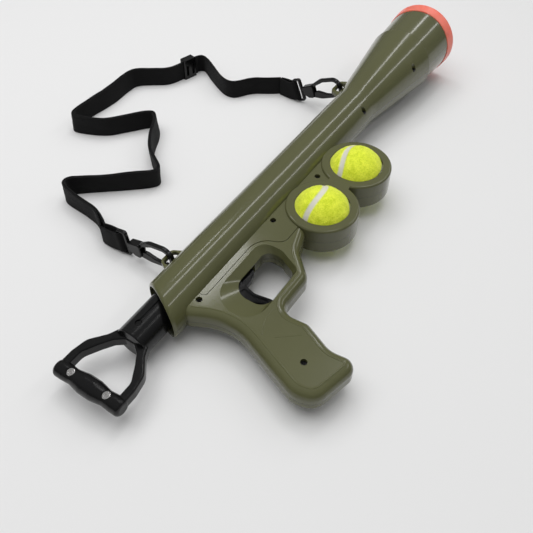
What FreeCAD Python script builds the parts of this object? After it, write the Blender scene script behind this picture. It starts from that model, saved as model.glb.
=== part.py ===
import FreeCAD, Part
import math
import os

# A ball launcher for dogs, lying on its left side, with its strap on the ground beside it.
# The launcher's pieces are drawn in its own frame: +X to the muzzle, +Y to the strap side and
# +Z to the side that faces up. X is the barrel's axis and Z = 0 the plane between the shells.
# Then everything is laid down on the three places that touch the ground.
# Sizes are in millimetres.

V = FreeCAD.Vector
X_AXIS = V(1, 0, 0)
Y_AXIS = V(0, 1, 0)
Z_AXIS = V(0, 0, 1)
far = 900.0

# Clearances
fit_gap = 0.1
slide_gap = 0.06
body_gap = 0.3
seam_gap = 0.6
thread_gap = 0.05
liner_gap = 1.1

# Balls
ball_r = 32.5
ball_wall = 3.5

# The liner that the loaded ball sits in
liner_r = ball_r + liner_gap
liner_wall = 2.2
liner_x = 462.0
liner_rib = 2.5
liner_funnel = 8.0
port_gap = 3.0

# Barrel and cone
wall = 2.4
barrel_r = 26.3
rear_x = -13.7
rear_slant_deg = 27.5
rear_round = 3.2
cone_x = 366.0
cone_end_x = 488.6
cone_room = 9.9
cone_r = liner_r + cone_room
cone_blend = 90.0
rim_round = 1.2

# Muzzle sleeve and coral ring, each a step larger or smaller than the one behind
sleeve_step = 1.7
sleeve_r = cone_r - sleeve_step
sleeve_flare = 2.7
sleeve_end_r = sleeve_r + sleeve_flare
sleeve_long = 54.3
spigot_long = 10.6
spigot_step = 2.6
spigot_r = sleeve_r - spigot_step
ring_long = 17.0
ring_step = 0.9
ring_back_r = sleeve_end_r + ring_step
ring_flare = 1.0
ring_front_r = ring_back_r + ring_flare
ring_round = 2.2
throat_r = ball_r + 0.5
throat_long = 8.0
throat_inset = 4.0

# Strap lugs: centre, half length, top, and the eye's lower and upper edge
lug_half_thick = 2.75
lug_eye_half = 9.0
rear_lug = (41.5, 14.5, 39.7, 28.8, 36.3)
front_lug = (387.0, 17.0, 42.2, 31.2, 38.7)

# Ball holder
plate_half = 13.0
ring_half = 15.3
ring_wall = 6.3
holder_r = ball_r + ring_wall
holder_round = 2.2
rear_ball_x = 176.3
ring_merge = 0.6
barrel_merge = 4.5
front_ball_rise = 1.7
front_ball_x = rear_ball_x + 2 * holder_r - ring_merge
rear_ball_y = -(barrel_r + holder_r - barrel_merge)
front_ball_y = rear_ball_y + front_ball_rise
plate_rear_x = 16.0
plate_front_x = 266.0
plate_low_y = -29.3
plate_wide_y = -54.5

# Grip and trigger guard
grip_half = 13.0
grip_round = 8.5
grip_wall = 2.7
scoop_deep = 6.5
slot_half = 5.2
blade_slot = (29.5, 50.0, -80.9, -38.0)
bar_slot = (39.0, -46.0, -26.0)
bar_swing = 6.5
holder_window_y = (-36.0, -35.0)
grip_window_y = (-36.0, -34.5)

# Case screws: the recess goes down screw_sink from the surface
screw_r = 1.5
screw_head_r = 2.7
screw_head_long = 2.0
recess_r = 3.2
boss_r = 4.2
screw_sink = 4.5
screw_reach = 7.0
plate_screws = [(132.0, -28.5), (214.3, -32.4)]
grip_screws = [(9.7, -27.2), (5.5, -142.0)]
cone_screws = [(342.5, -20.6), (453.5, -33.4)]

# Trigger, sear and their pins
trigger_x = 57.0
trigger_y = -35.5
trigger_half = 4.6
fin_half = 3.2
pocket_deep = 0.9
trigger_pin_r = 2.0
trigger_pin_half = 9.0
bar_x = 71.5
bar_y = -26.6
bar_r = 1.2
sear_x = 112.0
sear_y = -30.0
sear_half = 2.0
sear_pin_r = 1.5
sear_pin_half = 10.4
sear_back_x = 68.0
tooth_x = 78.2
tooth_long = 5.6
tooth_gap = 0.5

# Pull tube, plunger and main spring
travel = 110.0
tube_r = 16.8
tube_wall = 2.4
tube_rear_x = -52.0
tube_front_x = 176.0
collar_long = 26.0
collar_spigot = 12.0
notch_long = 7.2
notch_deep = 3.0
ear_long = 9.0
ear_half = 5.0
ear_r = 20.0
key_half = 1.5
key_deep = 1.0
rod_r = 6.0
head_r = 15.5
head_x = 452.0
head_long = 12.0
pad_long = 4.0
pad_dish = 2.6
bush_x = 8.0
bush_flange = 6.0
bush_sleeve_r = 19.4
bumper_long = 7.5
seat_long = 8.0
spring_r = 13.3
spring_wire_r = 1.2
spring_turns = 14

# Small springs round the pins
coil_wire_r = 0.3
coil_r = 2.75
coil_turns = 2
coil_long = 2.4
coil_leg = 2.4

# Pull handle
yoke_half = 6.0
yoke_round = 2.2
handle_x = -108.5
handle_half = 37.5
arm_inset = 0.9
arm_thick = 8.2
arm_outer_y = handle_half - arm_inset
arm_inner_y = arm_outer_y - arm_thick
bar_end_r = 8.2
bar_neck_r = 7.5
bar_mid_r = 9.7
neck_y = 19.5
tang_r = 3.4
handle_screw_y = 20.2
handle_head_r = 3.9
tube_screw_x = -42.2
tube_recess_r = 3.3

# Snap hooks: the hook's frame has U along the hook away from the launcher, V up and W across
bend_out_r = 13.0
bend_in_r = 8.6
hook_half = 2.4
neck_half = 4.6
neck_u = 46.0
gate_half = 2.2
gate_pin_r = 1.1
gate_u = 34.5
gate_v = -7.0
mouth_start_u = 20.0
mouth_end_u = 40.5
post_r = 2.2
post_head_r = 3.2
eye_u = 48.0
eye_rail = 3.4
eye_slot = 6.0
eye_half = 2.3
eye_side = 2.4
hook_drop = 2.0
hook_reach = 6.7
front_tilt_deg = 23.0
rear_tilt_deg = 10.0

# Strap
web_width = 25.0
web_thick = 1.8
web_low = 0.3
layer_step = 2.2
loop_merge = 1.0
tail_long = 22.0
adjuster_long = 20.0
adjuster_wall = 2.4
adjuster_gap = 0.6

# The strap's route seen from above, measured from the launcher's own origin
strap_route = [
    (375, 139), (365, 156), (347, 166), (339, 174), (341, 190), (356, 216), (370, 238),
    (373, 247), (366, 252), (336, 259), (318, 264), (306, 281), (293, 299), (280, 303),
    (240, 298), (205, 300), (178, 301), (167, 297), (167, 288), (176, 265), (184, 252),
    (205, 237), (228, 220), (229, 211), (214, 199), (192, 188), (172, 173), (158, 153),
    (149, 139), (140, 139), (124, 157), (104, 178), (84, 203), (75, 212), (65, 209),
    (61, 193), (59, 168), (55, 143),
]
doubled_from = 9


def rounded(corners, z=0.0):
    """A closed wire through corners (x, y, radius), with a tangent arc at each."""
    points = [V(c[0], c[1], z) for c in corners]
    count = len(points)
    ends = []
    for i, corner in enumerate(corners):
        here = points[i]
        back = (points[i - 1] - here).normalize()
        ahead = (points[(i + 1) % count] - here).normalize()
        half = back.getAngle(ahead) / 2
        cut = corner[2] / math.tan(half)
        middle = (back + ahead).normalize()
        bulge = here + middle * (corner[2] / math.sin(half) - corner[2])
        ends.append((here + back * cut, bulge, here + ahead * cut))
    edges = []
    for i in range(count):
        start, bulge, stop = ends[i]
        if corners[i][2] > 0:
            edges.append(Part.Arc(start, bulge, stop).toShape())
        after = ends[(i + 1) % count][0]
        if (after - stop).Length > 1e-6:
            edges.append(Part.LineSegment(stop, after).toShape())
    return Part.Wire(edges)


def prism(corners, z0, z1):
    """A straight solid on a rounded outline, from height z0 to z1."""
    return Part.Face(rounded(corners, z0)).extrude(V(0, 0, z1 - z0))


def turned(corners):
    """A solid turned about the X axis from corners (x, radius, rounding)."""
    return Part.Face(rounded(corners)).revolve(V(0, 0, 0), X_AXIS, 360)


def rod_x(x0, x1, radius):
    return Part.makeCylinder(radius, x1 - x0, V(x0, 0, 0), X_AXIS)


def rod_y(x, y0, y1, radius):
    return Part.makeCylinder(radius, y1 - y0, V(x, y0, 0), Y_AXIS)


def rod_z(x, y, z0, z1, radius):
    return Part.makeCylinder(radius, z1 - z0, V(x, y, z0), Z_AXIS)


def block(x0, x1, y0, y1, z0, z1):
    return Part.makeBox(x1 - x0, y1 - y0, z1 - z0, V(x0, y0, z0))


def flat_edges(shape, height):
    """The edges that lie in the planes z = height and z = -height."""
    found = []
    for edge in shape.Edges:
        box = edge.BoundBox
        if box.ZLength < 0.01 and abs(abs(box.Center.z) - height) < 0.01:
            found.append(edge)
    return found


def one(shape):
    """The main solid of a shape, without slivers that a cut may leave."""
    solids = sorted(shape.Solids, key=lambda s: s.Volume)
    return solids[-1].removeSplitter()


def halves(shape):
    """The (right, left) halves of a shape, parted at the plane between the shells."""
    right = block(-far, far, -far, far, 0, far)
    left = block(-far, far, -far, far, -far, 0)
    return one(shape.common(right)), one(shape.common(left))


def arc_at(start, apex, stop):
    """The arc from start to stop whose end tangents meet at apex."""
    lean = (stop - start).Length / 2 / (apex - start).Length
    middle = ((start + stop) / 2 + apex * lean) / (1 + lean)
    return Part.Arc(start, middle, stop).toShape()


def biarc(start, heading, stop, leaving):
    """Two arcs that join start to stop with the given end directions."""
    chord = stop - start
    lean = chord.dot(heading + leaving)
    spread = 2 * (1 - heading.dot(leaving))
    reach = (math.sqrt(lean ** 2 + spread * chord.dot(chord)) - lean) / spread
    first = start + heading * reach
    last = stop - leaving * reach
    joint = (first + last) / 2
    return [arc_at(start, first, joint), arc_at(joint, last, stop)]


def coil(start, along, side, radius, wire_r, length, turns, leg=0.0):
    """A helical spring of one round wire, in quarter turns, with straight legs."""
    other = along.cross(side)
    quarters = turns * 4
    rise = length / quarters

    def at(quarter):
        angle = quarter * math.pi / 2
        out = side * math.cos(angle) + other * math.sin(angle)
        return start + out * radius + along * (rise * quarter)

    def heading(quarter):
        angle = quarter * math.pi / 2
        round_way = other * math.cos(angle) - side * math.sin(angle)
        return (round_way * (radius * math.pi / 2) + along * rise).normalize()

    edges = []
    for q in range(quarters):
        edges += biarc(at(q), heading(q), at(q + 1), heading(q + 1))
    if leg > 0:
        first = at(0) - heading(0) * leg
        last = at(quarters) + heading(quarters) * leg
        edges.insert(0, Part.LineSegment(first, at(0)).toShape())
        edges.append(Part.LineSegment(at(quarters), last).toShape())
    path = Part.Wire(edges)
    section = Part.Circle(at(0) - heading(0) * leg, heading(0), wire_r)
    per_turn = 24
    points = [at(i * 4 / per_turn) for i in range(turns * per_turn + 1)]
    gaps = []
    for i, point in enumerate(points):
        for later in points[i + per_turn // 2:]:
            gaps.append((later - point).Length)
    print("spring of", turns, "turns, least gap to itself", round(min(gaps) - 2 * wire_r, 2))
    return path.makePipeShell([Part.Wire(section.toShape())], True, False)


def cone_radius(x):
    """The outer radius of the barrel or its cone at x."""
    share = min(max((x - cone_x) / (cone_end_x - cone_x), 0.0), 1.0)
    return barrel_r + (cone_r - barrel_r) * share


def barrel_surface(x, y):
    """The height of the barrel's right side at x, y."""
    return math.sqrt(cone_radius(x) ** 2 - y ** 2)


def all_screws():
    """Each case screw as (x, y, height of the surface above it)."""
    screws = [(x, y, plate_half) for x, y in plate_screws]
    screws += [(x, y, grip_half) for x, y in grip_screws]
    screws += [(x, y, barrel_surface(x, y)) for x, y in cone_screws]
    return screws


def case_screw(x, y, surface):
    seat = surface - screw_sink
    head = rod_z(x, y, seat, seat + screw_head_long, screw_head_r)
    shank = rod_z(x, y, -screw_reach, seat, screw_r)
    top = seat + screw_head_long
    slot = block(x - 1.8, x + 1.8, y - 0.4, y + 0.4, top - 0.9, top)
    cross = block(x - 0.4, x + 0.4, y - 1.8, y + 1.8, top - 0.9, top)
    return head.fuse(shank).cut(slot.fuse(cross)).removeSplitter()


def drilled(shape, x, y, surface):
    """The shape with a screw's recess and hole, and the blind hole below the seam."""
    seat = surface - screw_sink
    recess = rod_z(x, y, seat, far, recess_r)
    hole = rod_z(x, y, 0, seat, screw_r + body_gap)
    blind = rod_z(x, y, -screw_reach - fit_gap, 0, screw_r + thread_gap)
    return shape.cut(recess.fuse([hole, blind]))


def lug(spec):
    """A flat strap eye that stands on the barrel."""
    x, half, top, eye_low, eye_high = spec
    foot = barrel_r - 5
    outline = [
        (x - half - 2, foot, 0), (x - half, eye_low - 0.5, 4), (x - half + 6, top, 6),
        (x + half - 6, top, 6), (x + half, eye_low - 0.5, 4), (x + half + 2, foot, 0),
    ]
    eye = [
        (x - lug_eye_half, eye_low, 1.5), (x - lug_eye_half, eye_high, 3.4),
        (x + lug_eye_half, eye_high, 3.4), (x + lug_eye_half, eye_low, 1.5),
    ]
    body = prism(outline, -lug_half_thick, lug_half_thick)
    body = body.cut(prism(eye, -lug_half_thick, lug_half_thick))
    edges = [e for e in flat_edges(body, lug_half_thick) if e.BoundBox.YMax > foot + 1]
    return body.makeFillet(0.8, edges)


def barrel_shells():
    start = rear_x - 2 * barrel_r
    outer = turned([
        (start, 0, 0), (start, barrel_r, 0), (cone_x, barrel_r, cone_blend),
        (cone_end_x, cone_r, rim_round), (cone_end_x, 0, 0),
    ])
    inner = turned([
        (start, 0, 0), (start, barrel_r - wall, 0), (cone_x, barrel_r - wall, cone_blend),
        (cone_end_x, cone_r - wall, 0), (cone_end_x, 0, 0),
    ])
    knife = block(rear_x - far, rear_x, -far, far, -far, far)
    knife.rotate(V(rear_x, 0, 0), Z_AXIS, -rear_slant_deg)
    outer = outer.cut(knife)
    rim = [e for e in outer.Edges if e.BoundBox.XMax < rear_x + barrel_r and e.BoundBox.YLength > barrel_r]
    outer = outer.makeFillet(rear_round, [e for e in rim if e.BoundBox.ZLength > 2 * barrel_r - 1])
    shell = outer.cut(inner)
    for spec in (rear_lug, front_lug):
        shell = shell.fuse(lug(spec).cut(inner))
    socket_x = cone_end_x - spigot_long - fit_gap
    shell = shell.cut(rod_x(socket_x, cone_end_x, spigot_r + fit_gap))
    shell = shell.cut(block(sear_back_x - 2, tooth_x + tooth_long + 3, -barrel_r, -tube_r, -slot_half, slot_half))
    for x, y in cone_screws:
        tower = outer.common(rod_z(x, y, -far, far, boss_r))
        shell = shell.fuse(tower)
    for x, y, surface in all_screws():
        shell = drilled(shell, x, y, surface)
    return halves(shell)


sleeve_x = cone_end_x + fit_gap
sleeve_end_x = cone_end_x + sleeve_long
ring_x = sleeve_end_x + fit_gap
ring_end_x = sleeve_end_x + ring_long


def muzzle_sleeve():
    inner = liner_r + liner_wall + fit_gap
    body = turned([
        (sleeve_x, sleeve_r - wall, 0), (sleeve_x, sleeve_r, 1), (sleeve_end_x, sleeve_end_r, 0.6),
        (sleeve_end_x, sleeve_end_r - wall, 0),
    ])
    spigot = rod_x(cone_end_x - spigot_long, sleeve_x + 2, spigot_r)
    spigot = spigot.cut(rod_x(0, sleeve_x + 2, spigot_r - wall))
    rib = rod_x(sleeve_x, sleeve_x + 2, sleeve_r - 1).cut(rod_x(0, far, inner))
    return one(body.fuse([spigot, rib]))


def launch_tube():
    outer = liner_r + liner_wall
    front = rod_x(sleeve_end_x - liner_rib, sleeve_end_x, sleeve_end_r - wall - 2 * fit_gap)
    middle_x = (sleeve_x + sleeve_end_x) / 2
    middle = rod_x(middle_x, middle_x + liner_rib, sleeve_r - wall - fit_gap)
    body = rod_x(liner_x, sleeve_end_x, outer).fuse([front, middle])
    body = body.cut(rod_x(liner_x + liner_rib, sleeve_end_x, liner_r))
    port_r = head_r + port_gap
    funnel_x = liner_x + liner_rib
    funnel_end_x = funnel_x + liner_funnel
    funnel = turned([
        (funnel_x, 0, 0), (funnel_x, port_r, 0), (funnel_end_x, liner_r, 0), (funnel_end_x, 0, 0),
    ])
    collar = rod_x(funnel_x, funnel_end_x, liner_r).cut(funnel)
    return one(body.fuse(collar).cut(rod_x(0, funnel_x, port_r)))


def muzzle_ring():
    throat_x = ring_end_x - throat_inset
    throat_back = throat_x - throat_long
    return turned([
        (ring_x, liner_r, 0), (ring_x, ring_back_r, 0.6), (ring_end_x, ring_front_r, ring_round),
        (ring_end_x, throat_r + 4, 1.5), (throat_x, throat_r, 1.5), (throat_back, throat_r, 0.5),
    ])


def plate_outline(grow=0.0):
    """The holder's plate from the side, grown outwards where it lies in the grip."""
    low = plate_low_y - grow
    wide = plate_wide_y - grow
    return [
        (plate_rear_x - grow, 0, 0), (plate_rear_x - grow, low, 4 + grow),
        (101 - grow, low, 22), (113 - grow, wide, 10 + grow),
        (rear_ball_x - holder_r + 8, wide, 0), (rear_ball_x, rear_ball_y, 0),
        (front_ball_x, front_ball_y, 0), (plate_front_x, -40, 0), (plate_front_x, 0, 0),
    ]


def holder_ring(x, y):
    body = rod_z(x, y, -ring_half, ring_half, holder_r)
    return body.makeFillet(holder_round, flat_edges(body, ring_half))


def sear_window(low_y, low_front_y):
    """The room that the sear and the trigger's cross bar swing in."""
    side = sear_half + 0.6
    arm = block(sear_back_x - 4, tooth_x + 9.8, low_y, 0, -side, side)
    arm = arm.fuse(block(tooth_x + 1.8, sear_x + 5, low_front_y, 0, -side, side))
    return arm.fuse(block(trigger_x + 1, bar_x + bar_swing, low_y, 0, -slot_half, slot_half))


def holder_shells():
    shape = prism(plate_outline(), -plate_half, plate_half)
    land = [(194, -46, 3), (235, -46, 3), (229, -71, 3), (200, -71, 3)]
    shape = shape.fuse([
        holder_ring(rear_ball_x, rear_ball_y), holder_ring(front_ball_x, front_ball_y),
        prism(land, -ring_half, ring_half),
    ])
    shape = shape.cut(rod_x(-far, cone_x + 40, barrel_r + fit_gap))
    room = [(105, -47, 3), (114, -50.5, 3), (137, -50.5, 3), (137, -37, 3), (105, -37, 3)]
    shape = shape.cut(prism(room, wall - plate_half, plate_half - wall))
    for x, y in ((rear_ball_x, rear_ball_y), (front_ball_x, front_ball_y)):
        shape = shape.cut(Part.makeSphere(ball_r + body_gap, V(x, y, 0)))
    shape = shape.cut(sear_window(*holder_window_y))
    pin = rod_z(sear_x, sear_y, -sear_pin_half - fit_gap, sear_pin_half + fit_gap, sear_pin_r + thread_gap)
    shape = shape.cut(pin.fuse(rod_z(sear_x, sear_y, 0, sear_half + coil_long + 1.5, coil_r + 1.6)))
    for x, y, surface in all_screws():
        shape = drilled(shape, x, y, surface)
    return halves(shape)


grip_outline = [
    (-9, -10, 0), (-9, -27.5, 9), (9, -63, 60), (-25, -149, 29), (-19, -170, 19),
    (34.5, -184, 11), (31, -154, 25), (44.5, -124, 11), (42.3, -95.5, 12), (90, -96, 14),
    (113.5, -72, 22), (148, -60.5, 0), (148, -10, 0),
]
guard_hole = [
    (38, -42.5, 18), (98.2, -42.5, 10), (98.8, -59, 18), (88, -81, 7), (38, -81, 13),
]
guard_scoop = [
    (14, -34, 28), (101.6, -34, 14), (102.4, -58, 18), (90.2, -84.3, 9), (14, -84.3, 22),
]


def grip_shells():
    body = prism(grip_outline, -grip_half, grip_half)
    edges = [e for e in flat_edges(body, grip_half) if e.BoundBox.YMin < -26 and e.BoundBox.XMax < 147]
    body = body.makeFillet(grip_round, edges)
    inset = rounded(grip_outline).makeOffset2D(-grip_wall)
    hollow_half = grip_half - grip_wall
    hollow = Part.Face(inset).extrude(V(0, 0, 2 * hollow_half))
    hollow.translate(V(0, 0, -hollow_half))
    edges = [e for e in flat_edges(hollow, hollow_half) if e.BoundBox.YMin < -80]
    hollow = hollow.makeFillet(grip_round - grip_wall, edges)
    hollow = hollow.common(block(-far, far, -far, -100, -far, far))
    body = body.cut(hollow)
    body = body.cut(rod_x(-far, far, barrel_r + fit_gap))
    body = body.cut(prism(plate_outline(seam_gap), -far, far))
    body = body.cut(rod_z(rear_ball_x, rear_ball_y, -far, far, holder_r + seam_gap))
    body = body.cut(prism(guard_hole, -far, far))
    low = rounded(guard_hole, grip_half - scoop_deep)
    high = rounded(guard_scoop, grip_half + 0.01)
    scoop = Part.makeLoft([low, high], True, True)
    body = body.cut(scoop).cut(scoop.mirror(V(0, 0, 0), Z_AXIS))
    body = body.cut(block(*blade_slot, -slot_half, slot_half))
    x, y0, y1 = bar_slot
    body = body.cut(block(x, bar_x + bar_swing, y0, y1, -slot_half, slot_half))
    body = body.cut(sear_window(*grip_window_y))
    pin = rod_z(trigger_x, trigger_y, -trigger_pin_half - fit_gap, trigger_pin_half + fit_gap,
                trigger_pin_r + thread_gap)
    body = body.cut(pin.fuse(rod_z(trigger_x, trigger_y, 0, trigger_half + coil_long + 1.2, coil_r + 1.6)))
    x, y = grip_screws[1]
    body = body.fuse(rod_z(x, y, 1 - grip_half, grip_half - 1, boss_r + 1))
    for x, y, surface in all_screws():
        body = drilled(body, x, y, surface)
    return halves(body)


collar_end_x = tube_front_x + collar_long
bumper_x = collar_end_x + fit_gap
seat_x = bumper_x + bumper_long + fit_gap
seat_end_x = seat_x + seat_long
bush_end_x = tube_front_x - travel - 0.5


def key(x0, x1, gap):
    """The key that keeps the pull tube from turning, or its keyway with a gap."""
    half = key_half + gap
    return block(x0, x1, -half, half, tube_r - key_deep - gap, tube_r + 1)


def rear_bush():
    flange_r = barrel_r - wall - fit_gap
    body = rod_x(bush_x, bush_end_x, bush_sleeve_r)
    body = body.fuse([
        rod_x(bush_x, bush_x + bush_flange, flange_r),
        rod_x(bush_end_x - bush_flange, bush_end_x, flange_r),
    ])
    body = body.cut(rod_x(bush_x, bush_end_x, tube_r + slide_gap))
    return one(body.fuse(key(bush_x, bush_end_x, -fit_gap)))


def spring_seat():
    body = rod_x(seat_x, seat_end_x, barrel_r - wall - fit_gap)
    return body.cut(rod_x(0, far, rod_r + slide_gap))


def bumper():
    body = rod_x(bumper_x, bumper_x + bumper_long, tube_r - 1)
    return body.cut(rod_x(0, far, rod_r + body_gap))


def pull_tube():
    body = rod_x(tube_rear_x, tube_front_x, tube_r)
    body = body.cut(rod_x(-far, far, tube_r - tube_wall))
    body = body.cut(rod_z(tube_screw_x, 0, 0, far, tube_recess_r))
    return one(body.cut(key(tube_screw_x, tube_front_x, 0)))


def catch_collar():
    start = tube_front_x + fit_gap
    body = rod_x(start, collar_end_x, tube_r)
    body = body.fuse(rod_x(tube_front_x - collar_spigot, start, tube_r - tube_wall - fit_gap))
    notch_x = tooth_x + travel - (notch_long - tooth_long) / 2
    groove = rod_x(notch_x, notch_x + notch_long, tube_r + 1)
    groove = groove.cut(rod_x(notch_x, notch_x + notch_long, tube_r - notch_deep))
    ears = rod_x(start, start + ear_long, ear_r).common(block(0, far, -ear_half, ear_half, -far, far))
    body = body.cut(groove).fuse(ears)
    rod_x0 = collar_end_x - collar_long / 2
    return one(body.cut(rod_x(rod_x0, collar_end_x, rod_r + thread_gap)))


def plunger_rod():
    start = collar_end_x - collar_long / 2 + fit_gap
    return rod_x(start, head_x + head_long / 2, rod_r)


def plunger_head():
    body = turned([
        (head_x, 0, 0), (head_x, head_r - 3, 0.8), (head_x + 3, head_r, 1),
        (head_x + head_long, head_r, 0), (head_x + head_long, 0, 0),
    ])
    return body.cut(rod_x(0, head_x + head_long / 2 + fit_gap, rod_r + thread_gap))


def head_pad():
    start = head_x + head_long + thread_gap
    stop = start + pad_long
    body = rod_x(start, stop, head_r)
    dish = Part.makeSphere(ball_r, V(stop - pad_dish + ball_r, 0, 0))
    return body.cut(dish)


def main_spring():
    start = seat_end_x + spring_wire_r + 0.2
    stop = head_x - spring_wire_r - 0.2
    return coil(V(start, 0, 0), X_AXIS, Y_AXIS, spring_r, spring_wire_r, stop - start, spring_turns)


def handle_yoke():
    end = tube_rear_x - fit_gap
    side = [
        (end, tube_r + 0.6, 1), (-61, tube_r + 4.6, 12), (-76, arm_outer_y - 3, 16),
        (-92, arm_outer_y, 14), (handle_x - 3, arm_outer_y, 1.5), (handle_x - 3, arm_inner_y, 1),
        (-88, arm_inner_y, 14), (-73, arm_inner_y - 8.6, 14), (-63, 13, 8), (-57, 5, 3),
    ]
    outline = side + [(x, -y, r) for x, y, r in reversed(side)]
    body = prism(outline, -yoke_half, yoke_half)
    edges = [e for e in flat_edges(body, yoke_half) if e.BoundBox.XMin < end - 1]
    body = body.makeFillet(yoke_round, edges)
    disc = rod_x(end - 4, end, tube_r)
    disc = disc.makeFillet(1.4, [e for e in disc.Edges if e.Closed and e.BoundBox.XMax < end - 1])
    spigot = rod_x(end - 2, end + 20, tube_r - tube_wall - fit_gap)
    tang = rod_y(handle_x, 1 - arm_outer_y, arm_outer_y - 1, tang_r)
    body = body.fuse([disc, spigot, tang])
    for y in (-handle_screw_y, handle_screw_y):
        body = body.cut(rod_z(handle_x, y, -far, far, screw_r + fit_gap))
    return one(body.cut(rod_z(tube_screw_x, 0, -fit_gap, far, screw_r + thread_gap)))


def hand_bar():
    """The two halves of the hand bar, clamped round the yoke's tang."""
    corners = [(-handle_half, 0, 0), (-handle_half, bar_end_r, 3.6), (-neck_y - 8, bar_end_r, 20)]
    corners += [(-neck_y + 1, bar_neck_r, 12), (-6, bar_mid_r, 16), (6, bar_mid_r, 16)]
    corners += [(neck_y - 1, bar_neck_r, 12), (neck_y + 8, bar_end_r, 20)]
    corners += [(handle_half, bar_end_r, 3.6), (handle_half, 0, 0)]
    body = turned(corners)
    body.rotate(V(0, 0, 0), Z_AXIS, 90)
    body.translate(V(handle_x, 0, 0))
    body = body.cut(rod_y(handle_x, -arm_outer_y, arm_outer_y, tang_r + fit_gap))
    for side in (-1, 1):
        near, out = sorted((side * (arm_inner_y - fit_gap), side * (arm_outer_y + fit_gap)))
        room = block(handle_x - 3.2, handle_x + 20, near, out, -yoke_half - fit_gap, yoke_half + fit_gap)
        body = body.cut(room)
        y = side * handle_screw_y
        body = body.cut(rod_z(handle_x, y, bar_neck_r - 2.2, far, handle_head_r + fit_gap))
        body = body.cut(rod_z(handle_x, y, 0, far, screw_r + fit_gap))
        body = body.cut(rod_z(handle_x, y, -bar_neck_r + 2, 0, screw_r + thread_gap))
    return halves(body)


def handle_screws():
    screws = []
    seat = bar_neck_r - 2.1
    top = bar_neck_r - 0.2
    for y in (-handle_screw_y, handle_screw_y):
        head = rod_z(handle_x, y, seat, top, handle_head_r)
        head = head.makeFillet(0.9, [e for e in head.Edges if e.Closed and e.BoundBox.ZMin > seat + 1])
        shank = rod_z(handle_x, y, 2.2 - bar_neck_r, seat, screw_r)
        ring = rod_z(handle_x, y, top - 0.5, top, 2.4).cut(rod_z(handle_x, y, top - 0.5, top, 1.7))
        socket = rod_z(handle_x, y, top - 1.2, top, 1.0)
        screws.append(head.fuse(shank).cut(ring.fuse(socket)).removeSplitter())
    return Part.makeCompound(screws)


def tube_screw():
    inside = tube_r - tube_wall
    head = rod_z(tube_screw_x, 0, inside, tube_r - 1.2, screw_head_r)
    shank = rod_z(tube_screw_x, 0, 0, inside, screw_r)
    return head.fuse(shank).removeSplitter()


def trigger():
    finger = [
        (50, -31.5, 2.5), (62, -31.5, 2.5), (67, -38.5, 3), (74.5, -42.5, 1.6), (71, -46.5, 3),
        (62, -49.6, 7), (52.4, -49.6, 2.2), (49.2, -62, 16), (52.6, -80.6, 1.8), (45, -80.6, 2.4),
        (37, -61, 16), (42, -43, 6),
    ]
    body = prism(finger, -trigger_half, trigger_half)
    body = body.makeFillet(1.0, flat_edges(body, trigger_half))
    pocket = prism([
        (43.4, -49.5, 2), (48.6, -50.5, 1.5), (46.2, -62, 16), (49.2, -77, 1.2), (46, -77.5, 1.2),
        (40, -61, 14),
    ], trigger_half - pocket_deep, trigger_half + 1)
    fin_side = block(53.5, 80, -52, -41, fin_half, trigger_half + 1)
    for side in (pocket, fin_side):
        body = body.cut(side).cut(side.mirror(V(0, 0, 0), Z_AXIS))
    cheek = [
        (53, -32.6, 0), (56, -31.8, 0), (bar_x - 2.6, bar_y + 2.2, 1.6), (bar_x + 2.6, bar_y + 2.2, 1.6),
        (bar_x + 2.6, bar_y - 2.6, 2), (66, -39, 2), (55, -40, 0),
    ]
    cheeks = prism(cheek, -trigger_half, trigger_half)
    gap = sear_half + 0.5
    body = body.fuse(cheeks).cut(block(64, 90, -38.3, -20, -gap, gap))
    body = body.fuse(rod_z(bar_x, bar_y, -trigger_half, trigger_half, bar_r))
    return one(body.cut(rod_z(trigger_x, trigger_y, -far, far, trigger_pin_r + slide_gap)))


def sear():
    arm_top = sear_y + 2
    arm_low = sear_y - 1.5
    tooth_top = -tube_r - tooth_gap
    outline = [
        (sear_back_x, arm_low, 1), (sear_back_x, arm_top, 1), (tooth_x - 1.4, arm_top, 1),
        (tooth_x, tooth_top, 0.3), (tooth_x + tooth_long, tooth_top, 1.2),
        (tooth_x + tooth_long + 2, arm_top, 3), (sear_x - 4, sear_y + 3.2, 1), (sear_x + 3.4, sear_y + 3.2, 3),
        (sear_x + 3.4, sear_y - 3.2, 3), (sear_x - 4, sear_y - 3.2, 1), (sear_x - 14, arm_low, 4),
    ]
    body = prism(outline, -sear_half, sear_half)
    return body.cut(rod_z(sear_x, sear_y, -far, far, sear_pin_r + slide_gap))


def pin_spring(x, y, z):
    """A small torsion spring round a pin, from height z up."""
    return coil(V(x, y, z), Z_AXIS, Y_AXIS, coil_r, coil_wire_r, coil_long, coil_turns, coil_leg)


def ball(x, y):
    outside = Part.makeSphere(ball_r, V(x, y, 0))
    return outside.cut(Part.makeSphere(ball_r - ball_wall, V(x, y, 0)))


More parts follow.
